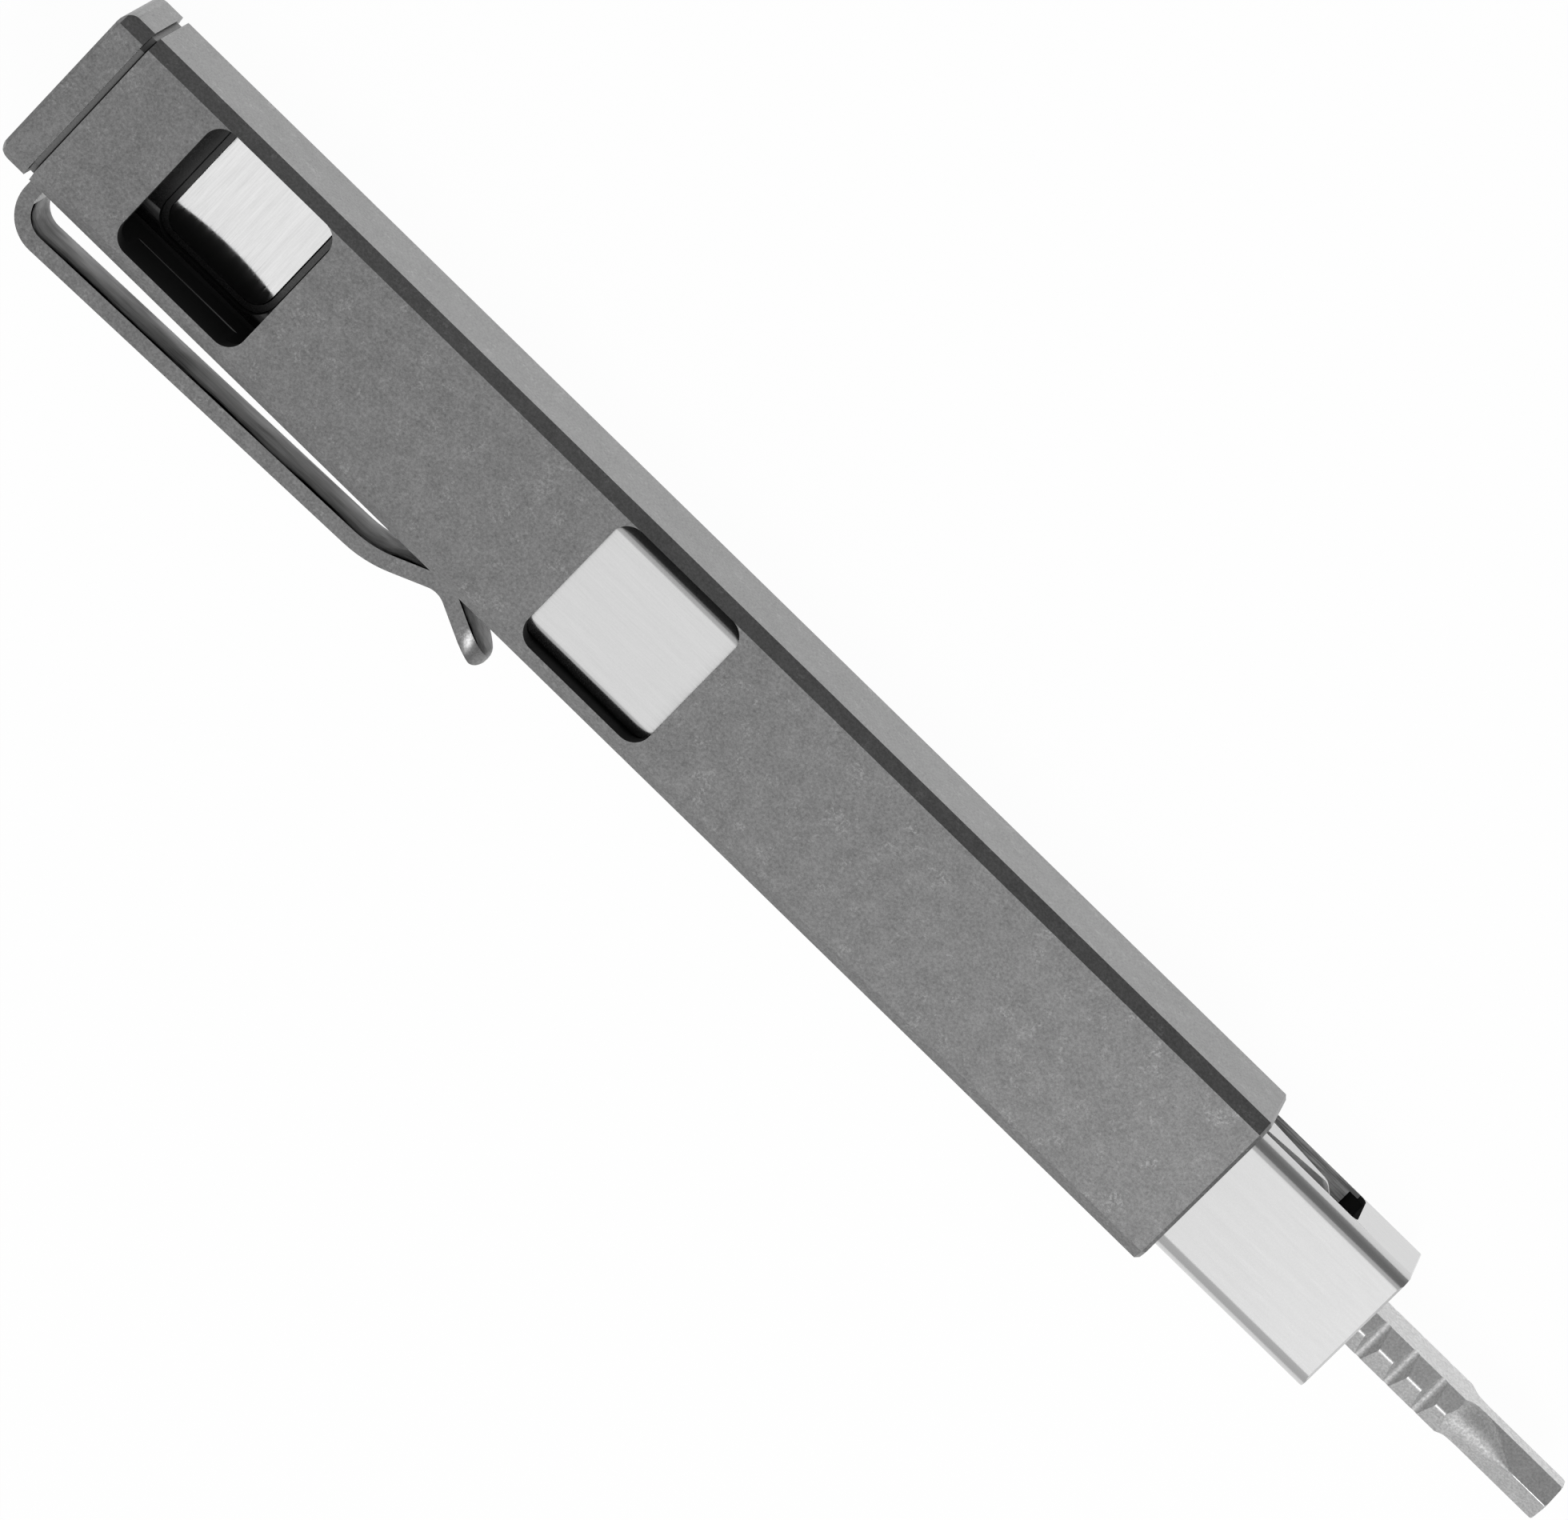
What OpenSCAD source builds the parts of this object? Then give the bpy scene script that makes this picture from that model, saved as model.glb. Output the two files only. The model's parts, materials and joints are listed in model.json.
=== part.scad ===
// Pocket screwdriver: a rectangular bar housing with two thumb windows, a bent pocket clip and a
// steel carriage that slides out of the open end and holds a flat double-ended bit.
// X runs towards the bit tip, Y towards the plain side and Z out of the windowed face. The origin is
// the middle of the housing's back face. In the modules, X is counted from the housing's rear end
// and Z from the middle of its depth.

/* [Housing] */
// Width of the bar section, clip side to plain side
body_w = 12.7; // [12.4:0.1:13.6]
// Depth of the bar section, back face to windowed face
body_d = 9.525; // [9.2:0.025:10.5]
// Leg of the long edge chamfers
edge_chamfer = 0.88; // [0.6:0.02:1]
// Wall on the plain side
side_wall = 0.95; // [0.8:0.05:1.1]
// Wall on the clip side
clip_wall = 1.25; // [1.1:0.05:1.4]
// Wall on the windowed face and on the back
face_wall = 0.93; // [0.85:0.01:1.1]
// Edge break round the open end
end_break = 0.25; // [0.1:0.05:0.4]

/* [Windows] */
// Length of each window along the housing
window_l = 10.75; // [9.5:0.05:11]
// Width of each window across the face
window_w = 10.66; // [9.5:0.02:10.8]
// Corner radius of each window
window_r = 1.35; // [0.8:0.05:2]
// Start of the rear window
window_x = 6.3; // [6.2:0.1:8]
// Distance from the rear window to the front one, which is also the travel
window_pitch = 36.05; // [35.8:0.05:36.2]

/* [Keeper plates] */
// Side of a keeper plate's rim
keeper_rim_l = 9.8; // [9.2:0.1:9.9]
// Side of a keeper plate's raised pad
keeper_pad_l = 8.8; // [8:0.1:9]
// Thickness of the rim
keeper_rim_t = 0.22; // [0.15:0.01:0.25]
// Height of the pad above the rim
keeper_pad_t = 0.18; // [0.1:0.01:0.2]

/* [End cap] */
// Thickness of the cap outside the groove
cap_t = 2.27; // [1.8:0.01:3]
// Width of the groove between cap and housing
groove_w = 0.475; // [0.4:0.025:0.6]
// Depth of that groove
groove_depth = 0.4; // [0.2:0.05:0.5]
// Radius of the cap's outer end at its two narrow sides
cap_side_r = 0.9; // [0.5:0.1:1.5]
// Length of the plug inside the housing
plug_l = 4.8; // [4.4:0.1:4.9]
// Thread diameter of the small screws
screw_d = 1.6; // [1.4:0.1:1.7]
// Head diameter of the small screws
screw_head_d = 2.6; // [2.2:0.1:2.8]
// Distance between the two cap screws
cap_screw_pitch = 7.2; // [6.6:0.1:7.6]
// Length of a cap screw
cap_screw_l = 3; // [2.4:0.1:3.2]

/* [Pocket clip] */
// Width of the clip strip
clip_w = 5.1; // [4:0.1:5.4]
// Thickness of the clip strip
clip_t = 1.1; // [0.9:0.05:1.1]
// Radius of the first bend at the strip's middle
clip_bend_r = 2.35; // [2:0.05:2.6]
// Length of the straight stretch along the housing
clip_straight_l = 27.45; // [24:0.05:30]
// How far the strip stands off before it runs along the housing
clip_standoff = 0.85; // [0.7:0.05:1]
// Slope of the straight stretch towards the housing, in degrees
clip_slope = 1.35; // [1.2:0.05:1.5]
// Slope of the stretch that leads in to the housing, in degrees
clip_lead_in = 23.35; // [23:0.05:24]
// Radius of the bend between those two stretches, at the strip's middle
clip_lead_r = 8.6; // [7:0.1:10]
// Slope of the flared tail, in degrees
clip_flare = 26.4; // [15:0.1:30]
// Length of the flared tail
clip_tail_l = 4.16; // [3:0.02:5]
// Distance between the two clip screws
clip_screw_pitch = 3.2; // [3:0.1:3.6]

/* [Carriage] */
// How far the nose stands out of the housing in use
nose_out = 13.17; // [11:0.01:14]
// Length of the carriage behind its channel
tail_l = 19.8; // [17:0.1:21]
// Gap between the plug and the carriage when it is slid back
rear_play = 0.32; // [0.2:0.02:0.6]
// Corner radius of the carriage section
carriage_r = 1.25; // [0.8:0.05:1.3]
// Sliding clearance between carriage and housing on each side
slide_gap = 0.06; // [0.04:0.01:0.1]
// Solid length of the nose in front of the side slot
nose_solid_l = 4.97; // [4.4:0.01:6]
// Clearance of a bit in its slot and socket on each side
bit_gap = 0.05; // [0.03:0.01:0.08]
// Edge break round the nose
nose_break = 0.15; // [0.05:0.05:0.3]
// Diameter of the magnet that holds the slide at both ends
slide_magnet_d = 7.2; // [5:0.1:7.6]
// Thickness of that magnet
slide_magnet_t = 1.6; // [1:0.1:2]

/* [Side spring] */
// Width of the leaf at its root
spring_w = 4.4; // [3.6:0.1:4.6]
// Thickness of the leaf
spring_t = 0.46; // [0.3:0.02:0.5]
// How far the leaf lies below the carriage's side
spring_sink = 0.17; // [0.12:0.01:0.25]
// Length of the leaf that is screwed down
spring_root_l = 11.8; // [10:0.1:12]
// Length of the leaf's taper
spring_taper_l = 9.3; // [8:0.1:14]
// Width of the leaf where its tip bends in
spring_tip_w = 0.6; // [0.5:0.05:1]
// Length of the bent tip
spring_tip_l = 0.9; // [0.6:0.1:1.2]

/* [Bit] */
// Length of the double-ended bit
bit_l = 30.8; // [30.4:0.1:31]
// Thickness of its flat body
bit_t = 2.96; // [2.8:0.02:3.2]
// Width of its flat body over the two edges
bit_w = 5.2; // [5:0.05:5.25]
// Width of its two broad faces
bit_face_w = 3.9; // [3.4:0.05:4.2]
// Length of its flat body
bit_body_l = 13.7; // [13:0.1:14.2]
// Key size of the hexagon end in use
hex_af = 2.97; // [2.5:0.01:3]
// Key size of the hexagon end inside the carriage
rear_hex_af = 2.5; // [2:0.05:2.8]
// Distance between neighbouring notches
notch_pitch = 2.52; // [2.4:0.02:2.6]
// Width of a notch across the edge
notch_w = 1.46; // [0.8:0.02:1.6]
// Depth of a notch
notch_depth = 0.68; // [0.5:0.02:0.8]
// How far the bit stands out of the nose
bit_out = 16.67; // [16.4:0.01:17]
// How far the bit sits off the carriage's middle towards the plain side
bit_offset = 0.1; // [0:0.05:0.2]

/* [Retention] */
// Place of the travel stop along the housing
stop_x = 56; // [55:0.5:60]
// Diameter of the stop screw
stop_d = 2; // [1.6:0.1:2.4]
// Diameter of the stop screw's tip
stop_tip_d = 1.4; // [1:0.1:1.6]
// How far the tip stands into the carriage's groove
stop_reach = 0.5; // [0.3:0.05:0.6]
// Play behind the spare bit in the channel
spare_play = 2.32; // [1.6:0.02:3]
// Diameter of the magnet behind the bit
bit_magnet_d = 2.6; // [2:0.1:2.8]
// Thickness of that magnet
bit_magnet_t = 1.5; // [1:0.1:2]
// Diameter of the wire that clips into the bit's notches
wire_d = 0.5; // [0.4:0.05:0.6]

/* [Hidden] */
$fn = 48;

// Overrun of every cut past the face that it leaves
cut = 1;
// Gap between pieces that are fixed together
seat_gap = 0.02;
// Gap between the two parts of a strip that flexes at its root
flex_gap = 0.06;

// The bore of the housing and the carriage in it share one axis
bore_w = body_w - side_wall - clip_wall;
bore_d = body_d - 2 * face_wall;
bore_y = (clip_wall - side_wall) / 2;
bore_r = carriage_r + slide_gap;
bore_floor = bore_d / 2;
window_mid_x = window_x + window_l / 2;
window_xs = [window_mid_x, window_mid_x + window_pitch];

// Keeper plates sit in pockets milled through the windows
keeper_rim_r = window_r * 1.2;
keeper_pad_r = window_r;
keeper_sink = slide_gap / 2;
keeper_pocket = keeper_rim_t + keeper_pad_t + keeper_sink;
keeper_fit = 0.03;

// Along the carriage: its tail, the spare bit, the block, the bit in use and the nose
travel = window_pitch;
carriage_x = plug_l + rear_play + travel;
slot_x = carriage_x + tail_l;
spare_mid_x = slot_x + spare_play + bit_l / 2;
block_l = bit_magnet_t * 2.3;
block_x = spare_mid_x + bit_l / 2 + 4 * bit_gap;
block_front_x = block_x + block_l;
bit_mid_x = block_front_x + 2 * bit_gap + bit_l / 2;
nose_x = bit_mid_x + bit_l / 2 - bit_out;
carriage_l = nose_x - carriage_x;
body_l = nose_x - nose_out;

// Carriage section and side slot
carriage_w = bore_w - 2 * slide_gap;
carriage_d = bore_d - 2 * slide_gap;
carriage_side = bore_y + carriage_w / 2;
slot_w = bit_w + 2 * bit_gap;
slot_r = slot_w / 10;
slot_end_x = nose_x - nose_solid_l;

// Relief in the slot's two side walls at its front end, below a lip at its mouth
relief_depth = slot_r * 0.7;
relief_lip = slot_r * 0.6;
relief_l = nose_solid_l / 4;

// Side spring, free over the whole channel
spring_top = carriage_side - spring_sink;
spring_x = slot_x + flex_gap / 2;
spring_free_l = slot_end_x - spring_x - spring_tip_l - relief_l - 2 * slot_r;
spring_root_x = spring_x - spring_root_l;
spring_bend_r = spring_t * 1.5;
spring_bend_angle = 38;
spring_screw_shares = [0.25, 0.72];
spring_screw_l = cap_screw_l * 0.9;

// Bits
bit_y = bore_y + bit_offset;
slot_floor = bit_y - bit_t / 2 - bit_gap;
notch_rows = [-2, -1, 0, 1, 2];
apex_share = 1 / cos(30);
neck_share = 0.97;
neck_l_share = 0.6;

// Block, pin and magnet behind the bit
block_top = bit_y + bit_t * 0.75;
block_pin_d = bit_magnet_t / 1.5;
block_pin_x = block_front_x - bit_magnet_t - block_pin_d;

// Wire clip round the bit in the nose, one notch behind the nose
wire_x = bit_mid_x - notch_pitch;
wire_leg = bit_w / 2 + bit_gap + wire_d / 2;
wire_floor = bit_y - bit_t / 2 - bit_gap - wire_d / 2;
wire_top = bit_y + bit_t / 2;
wire_room = wire_d / 2 + bit_gap;

// Travel stop
stop_groove_w = stop_tip_d + 4 * slide_gap;
stop_groove_depth = stop_reach + slide_gap;

// Small screws
screw_fit = 0.01;
head_l = (screw_head_d - screw_d) / 2;
head_sink = 0.02;
drive_af = screw_d * 0.55;
drive_depth = screw_d * 0.3;

// Clip: its strip starts inside the notch in the clip-side wall
clip_x = seat_gap + seat_gap / 2;
clip_mid_x = clip_x + clip_t / 2;
clip_split_y = -body_w / 2 + clip_wall / 2;
foot_end_y = bore_y + bore_w / 5;
clip_screw_y = (clip_split_y + clip_wall / 2 + foot_end_y) / 2;
cap_screw_x = clip_x + clip_t + screw_head_d * 0.75;
clip_screw_l = plug_l + groove_w + cap_t / 2;
bump_r = clip_t * 2;
clip_tail_r = clip_w * 0.46;
arc_step = 4;

// The lead-in ends where the bump rests just clear of the housing's side
clip_run_y = -body_w / 2 - clip_standoff - clip_bend_r * cos(clip_slope) + clip_straight_l * sin(clip_slope);
bump_y = -body_w / 2 - flex_gap - clip_t / 2;
lead_in_rise = clip_lead_r * (cos(clip_slope) - cos(clip_lead_in)) + bump_r * (1 - cos(clip_lead_in));
clip_lead_l = (bump_y - clip_run_y - lead_in_rise) / sin(clip_lead_in);

// Steps of a bent strip: length of a straight stretch, then turn angle and bend radius
clip_steps = [
    [clip_standoff - flex_gap + clip_wall / 2, 90 + clip_slope, clip_bend_r],
    [clip_straight_l, clip_lead_in - clip_slope, clip_lead_r],
    [clip_lead_l, -clip_lead_in - clip_flare, bump_r],
    [clip_tail_l, 0, bump_r]
];
spring_steps = [
    [spring_free_l, -spring_bend_angle, spring_bend_r],
    [spring_tip_l, 0, spring_bend_r]
];

// Centre line of a bent strip as [x, y, heading]
function step_end(s, at) =
    let (a = at[2], t = s[1], side = sign(t), px = at[0] + s[0] * cos(a), py = at[1] + s[0] * sin(a))
    [px + side * s[2] * (sin(a + t) - sin(a)), py - side * s[2] * (cos(a + t) - cos(a)), a + t];
function step_points(s, at) =
    let (a = at[2], t = s[1], side = sign(t), px = at[0] + s[0] * cos(a), py = at[1] + s[0] * sin(a),
        n = ceil(abs(t) / arc_step))
    n == 0 ? [[px, py, a]] : [for (i = [0:n]) let (b = a + t * i / n)
        [px + side * s[2] * (sin(b) - sin(a)), py - side * s[2] * (cos(b) - cos(a)), b]];
function strip_line(steps, at, i = 0) =
    i == len(steps) ? [] :
        concat(step_points(steps[i], at), strip_line(steps, step_end(steps[i], at), i + 1));

// Outline of a bent strip of one thickness along its centre line, round at its far end
module strip(steps, at, t) {
    line = concat([at], strip_line(steps, at));
    left = [for (q = line) [q[0] - t / 2 * sin(q[2]), q[1] + t / 2 * cos(q[2])]];
    right = [for (i = [len(line) - 1:-1:0]) let (q = line[i])
        [q[0] + t / 2 * sin(q[2]), q[1] - t / 2 * cos(q[2])]];
    end = line[len(line) - 1];
    steps_round = ceil(180 / arc_step / 2);
    tip = [for (i = [1:steps_round - 1]) let (b = end[2] + 90 - 180 * i / steps_round)
        [end[0] + t / 2 * cos(b), end[1] + t / 2 * sin(b)]];
    polygon(concat(left, tip, right));
}

// Sets the pieces down with the origin at the middle of the housing's back face
module placed() {
    translate([-body_l / 2, 0, body_d / 2]) children();
}

// Extrudes an outline in Y and Z along X
module along_x(x, l) {
    translate([x, 0, 0]) rotate([90, 0, 90]) linear_extrude(l) children();
}

module chamfered_rect(w, d, c) {
    polygon([[w / 2 - c, d / 2], [-w / 2 + c, d / 2], [-w / 2, d / 2 - c], [-w / 2, -d / 2 + c],
        [-w / 2 + c, -d / 2], [w / 2 - c, -d / 2], [w / 2, -d / 2 + c], [w / 2, d / 2 - c]]);
}

module rounded_rect(w, d, r) {
    square([w - 2 * r, d], center = true);
    square([w, d - 2 * r], center = true);
    for (i = [-1, 1], j = [-1, 1])
        translate([i * (w / 2 - r), j * (d / 2 - r)]) circle(r);
}

// Slot along X with round ends, l from one end's centre to the other's
module rounded_slot(l, w) {
    square([l, w], center = true);
    for (i = [-1, 1])
        translate([i * l / 2, 0]) circle(w / 2);
}

// Cutters that break the edges of an octagonal bar end which faces +X at x
module end_break_cuts(x, w, d, c, b) {
    diagonal = (w / 2 + d / 2 - c) / sqrt(2);
    for (a = [0:45:315]) {
        flat = a % 180 == 0 ? w / 2 : a % 90 == 0 ? d / 2 : diagonal;
        translate([x, 0, 0]) rotate([a, 0, 0]) translate([0, flat, 0])
            linear_extrude(2 * w, center = true)
                polygon([[-b, 0], [0, -b], [cut, -b], [cut, cut], [-b, cut]]);
    }
}

// A countersunk screw with its head up, its top at the origin
module countersunk_screw(l) {
    difference() {
        union() {
            translate([0, 0, -head_l]) cylinder(h = head_l, r1 = screw_d / 2, r2 = screw_head_d / 2);
            translate([0, 0, -l]) cylinder(h = l - head_l, r = screw_d / 2);
        }
        translate([0, 0, -drive_depth])
            cylinder(h = drive_depth + cut, r = drive_af / 2 * apex_share, $fn = 6);
    }
}

// The hole for that screw
module countersunk_hole(l) {
    translate([0, 0, -head_l]) cylinder(h = head_l + head_sink + screw_fit,
        r1 = screw_d / 2 + screw_fit, r2 = screw_head_d / 2 + screw_fit + head_sink);
    translate([0, 0, -l - screw_fit]) cylinder(h = l, r = screw_d / 2 + screw_fit);
    cylinder(h = cut, r = screw_head_d / 2 + screw_fit + head_sink);
}

module at_cap_screws() {
    for (i = [-1, 1])
        translate([cap_screw_x, bore_y + i * cap_screw_pitch / 2, -body_d / 2 + head_sink])
            rotate([180, 0, 0]) children();
}

module at_clip_screws() {
    for (i = [-1, 1])
        translate([plug_l - head_sink, clip_screw_y + i * clip_screw_pitch / 2, 0])
            rotate([0, 90, 0]) children();
}

module keeper_pocket_cut() {
    translate([0, bore_y, -bore_floor - keeper_pocket])
        linear_extrude(keeper_pocket + bore_floor)
            rounded_rect(keeper_rim_l + 2 * keeper_fit, keeper_rim_l + 2 * keeper_fit, keeper_rim_r);
}

module housing() {
    color("dimgray") placed() difference() {
        along_x(0, body_l) chamfered_rect(body_w, body_d, edge_chamfer);
        along_x(-cut, body_l + 2 * cut) translate([bore_y, 0]) rounded_rect(bore_w, bore_d, bore_r);
        for (x = window_xs) {
            translate([x, bore_y, 0]) linear_extrude(body_d) rounded_rect(window_l, window_w, window_r);
            translate([x, 0, 0]) keeper_pocket_cut();
        }
        translate([-cut, -body_w / 2 - cut, -clip_w / 2 - flex_gap])
            cube([clip_x + clip_t + 2 * flex_gap + cut, clip_wall + 2 * cut, clip_w + 2 * flex_gap]);
        at_cap_screws() countersunk_hole(cap_screw_l);
        translate([stop_x, bore_y, -body_d / 2 - cut])
            cylinder(h = face_wall + 2 * cut, r = stop_d / 2 + screw_fit);
        end_break_cuts(body_l, body_w, body_d, edge_chamfer, end_break);
    }
}

// Outline of the cap seen on its windowed face, round at the outer corners
module cap_face_outline() {
    r = cap_side_r;
    l = cap_t + groove_w;
    translate([-l, -body_w / 2 + r]) square([l, body_w - 2 * r]);
    translate([-l + r, -body_w / 2]) square([l - r, body_w]);
    for (i = [-1, 1])
        translate([-l + r, i * (body_w / 2 - r)]) circle(r);
}

module end_cap() {
    color("dimgray") placed() difference() {
        union() {
            intersection() {
                along_x(-groove_w - cap_t, cap_t) chamfered_rect(body_w, body_d, edge_chamfer);
                linear_extrude(2 * body_d, center = true) cap_face_outline();
            }
            along_x(-groove_w - cap_t / 2, groove_w + cap_t / 2 - seat_gap)
                chamfered_rect(body_w - 2 * groove_depth, body_d - 2 * groove_depth, edge_chamfer);
            along_x(-groove_w - cap_t / 2, plug_l + groove_w + cap_t / 2) translate([bore_y, 0])
                rounded_rect(bore_w - 2 * seat_gap, bore_d - 2 * seat_gap, bore_r - seat_gap);
        }
        mirror([1, 0, 0]) end_break_cuts(groove_w + cap_t, body_w, body_d, edge_chamfer, end_break);
        translate([clip_x - seat_gap, -body_w, -clip_w / 2 - seat_gap])
            cube([clip_t + 2 * seat_gap, body_w + foot_end_y + seat_gap, clip_w + 2 * seat_gap]);
        at_cap_screws() countersunk_hole(cap_screw_l);
        at_clip_screws() countersunk_hole(clip_screw_l);
    }
}

module cap_screws() {
    color("silver") placed() at_cap_screws() countersunk_screw(cap_screw_l);
}

module clip_foot() {
    color("dimgray") placed() difference() {
        translate([clip_x, clip_split_y, -clip_w / 2]) cube([clip_t, foot_end_y - clip_split_y, clip_w]);
        at_clip_screws() countersunk_hole(clip_screw_l);
    }
}

module clip_screws() {
    color("silver") placed() at_clip_screws() countersunk_screw(clip_screw_l);
}

module pocket_clip() {
    start = [clip_mid_x, clip_split_y - flex_gap, -90];
    tail_x = max([for (q = strip_line(clip_steps, start)) q[0]]) + clip_t / 2;
    color("dimgray") placed() intersection() {
        linear_extrude(clip_w, center = true) strip(clip_steps, start, clip_t);
        rotate([90, 0, 0]) linear_extrude(2 * body_w) {
            translate([-clip_w, -clip_w / 2]) square([tail_x + clip_w - clip_tail_r, clip_w]);
            translate([0, -clip_w / 2 + clip_tail_r]) square([tail_x, clip_w - 2 * clip_tail_r]);
            for (i = [-1, 1])
                translate([tail_x - clip_tail_r, i * (clip_w / 2 - clip_tail_r)]) circle(clip_tail_r);
        }
    }
}

module keeper_plate(x) {
    translate([x, bore_y, -bore_floor - keeper_pocket]) {
        linear_extrude(keeper_rim_t) rounded_rect(keeper_rim_l, keeper_rim_l, keeper_rim_r);
        linear_extrude(keeper_rim_t + keeper_pad_t) rounded_rect(keeper_pad_l, keeper_pad_l, keeper_pad_r);
    }
}

module rear_keeper_plate() {
    color("gainsboro") placed() keeper_plate(window_xs[0]);
}

module front_keeper_plate() {
    color("gainsboro") placed() keeper_plate(window_xs[1]);
}

module stop_screw() {
    color("silver") placed() translate([stop_x, bore_y, -body_d / 2 + head_sink]) difference() {
        union() {
            cylinder(h = face_wall - head_sink, r = stop_d / 2);
            cylinder(h = face_wall - head_sink + slide_gap + stop_reach, r = stop_tip_d / 2);
        }
        translate([0, 0, -cut]) cylinder(h = drive_depth + cut, r = drive_af / 2 * apex_share, $fn = 6);
    }
}

// Section of the flat bit body, with its two edges pointing to the faces
module bit_section(gap) {
    t = bit_t / 2 + gap;
    polygon([[t, bit_face_w / 2], [0, bit_w / 2 + gap], [-t, bit_face_w / 2],
        [-t, -bit_face_w / 2], [0, -bit_w / 2 - gap], [t, -bit_face_w / 2]]);
}

// Place of the two fixing screws on the side spring's root
module at_spring_screws() {
    for (share = spring_screw_shares)
        translate([spring_root_x + spring_root_l * share, spring_top - head_sink, 0])
            rotate([-90, 0, 0]) children();
}

// Slot with rounded ends from x0 to x1 and from y towards the plain side, open there unless h is given
module side_slot(x0, x1, y, w, r, h = body_w) {
    translate([(x0 + x1) / 2, y, 0]) rotate([-90, 0, 0]) linear_extrude(h)
        rounded_rect(x1 - x0, w, r);
}

module carriage() {
    spring_floor = spring_top - spring_t - seat_gap;
    color("gainsboro") placed() difference() {
        along_x(carriage_x, carriage_l) translate([bore_y, 0])
            rounded_rect(carriage_w, carriage_d, carriage_r);
        side_slot(slot_x, slot_end_x, slot_floor, slot_w, slot_r);
        side_slot(slot_end_x - relief_l, slot_end_x, slot_floor, slot_w + 2 * relief_depth, slot_r,
            carriage_side - relief_lip - slot_floor);
        side_slot(spring_root_x - seat_gap, slot_x + 2 * slot_r, spring_floor, spring_w + 2 * seat_gap,
            slot_r);
        translate([0, bit_y, 0]) along_x(slot_end_x - cut, nose_solid_l + 2 * cut) bit_section(bit_gap);
        translate([window_xs[1], bore_y, -carriage_d / 2 - cut])
            cylinder(h = slide_magnet_t + cut + 2 * seat_gap, r = slide_magnet_d / 2 + seat_gap);
        translate([stop_x + travel / 2, bore_y, -carriage_d / 2 - cut])
            linear_extrude(cut + stop_groove_depth) rounded_slot(travel, stop_groove_w);
        translate([block_pin_x, bit_y, 0])
            cylinder(h = 2 * body_d, r = block_pin_d / 2 + screw_fit, center = true);
        at_spring_screws() countersunk_hole(spring_screw_l);
        translate([wire_x - wire_room, wire_floor - wire_room, -wire_leg - wire_room])
            cube([2 * wire_room, wire_top - wire_floor + 2 * wire_room, 2 * (wire_leg + wire_room)]);
        nose_edge_cuts();
    }
}

// Cutters that break the four long edges of the nose's end face
module nose_edge_cuts() {
    for (a = [0, 90, 180, 270]) {
        flat = a % 180 == 0 ? carriage_w / 2 : carriage_d / 2;
        translate([nose_x, bore_y, 0]) rotate([a, 0, 0]) translate([0, flat, 0])
            linear_extrude(2 * body_w, center = true)
                polygon([[-nose_break, 0], [0, -nose_break], [cut, -nose_break], [cut, cut],
                    [-nose_break, cut]]);
    }
}

module slide_magnet() {
    color("silver") placed() translate([window_xs[1], bore_y, -carriage_d / 2 + seat_gap])
        cylinder(h = slide_magnet_t, r = slide_magnet_d / 2);
}

module side_spring_root() {
    color("lightgray") placed() difference() {
        intersection() {
            translate([spring_root_x, spring_top - spring_t, -spring_w / 2])
                cube([spring_root_l - flex_gap / 2, spring_t, spring_w]);
            side_slot(spring_root_x, spring_x + 2 * slot_r, 0, spring_w, slot_r);
        }
        at_spring_screws() countersunk_hole(spring_screw_l);
    }
}

module side_spring() {
    taper_x = spring_x + spring_free_l - spring_taper_l;
    bend_x = spring_x + spring_free_l;
    tip_x = bend_x + 2 * spring_tip_l;
    start = [spring_x + flex_gap / 2, spring_top - spring_t / 2, 0];
    color("lightgray") placed() intersection() {
        linear_extrude(spring_w, center = true) strip(spring_steps, start, spring_t);
        rotate([90, 0, 0]) linear_extrude(2 * body_w, center = true)
            polygon([[spring_x, -spring_w / 2], [taper_x, -spring_w / 2], [bend_x, -spring_tip_w / 2],
                [tip_x, -spring_tip_w / 2], [tip_x, spring_tip_w / 2], [bend_x, spring_tip_w / 2],
                [taper_x, spring_w / 2], [spring_x, spring_w / 2]]);
    }
}

module side_spring_screws() {
    color("silver") placed() at_spring_screws() countersunk_screw(spring_screw_l);
}

module bit_stop_block() {
    color("dimgray") placed() difference() {
        translate([block_x, slot_floor + seat_gap, -slot_w / 2 + seat_gap])
            cube([block_l, block_top - slot_floor - seat_gap, slot_w - 2 * seat_gap]);
        translate([block_pin_x, bit_y, 0])
            cylinder(h = 2 * body_d, r = block_pin_d / 2 + screw_fit, center = true);
        translate([block_front_x - bit_magnet_t, bit_y, 0]) rotate([0, 90, 0])
            cylinder(h = bit_magnet_t + cut, r = bit_magnet_d / 2 + seat_gap);
    }
}

module bit_stop_pin() {
    color("silver") placed() translate([block_pin_x, bit_y, 0])
        cylinder(h = carriage_d - 2 * seat_gap, r = block_pin_d / 2, center = true);
}

module bit_magnet() {
    color("silver") placed() translate([block_front_x - bit_magnet_t, bit_y, 0]) rotate([0, 90, 0])
        cylinder(h = bit_magnet_t, r = bit_magnet_d / 2);
}

module bit_retaining_wire() {
    r = wire_d / 2;
    color("silver") placed() translate([wire_x, 0, 0]) {
        for (i = [-1, 1]) {
            translate([0, wire_floor, i * wire_leg]) rotate([-90, 0, 0])
                cylinder(h = wire_top - wire_floor, r = r);
            translate([0, wire_floor, i * wire_leg]) sphere(r);
        }
        translate([0, wire_floor, 0]) cylinder(h = 2 * wire_leg, r = r, center = true);
    }
}

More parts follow.
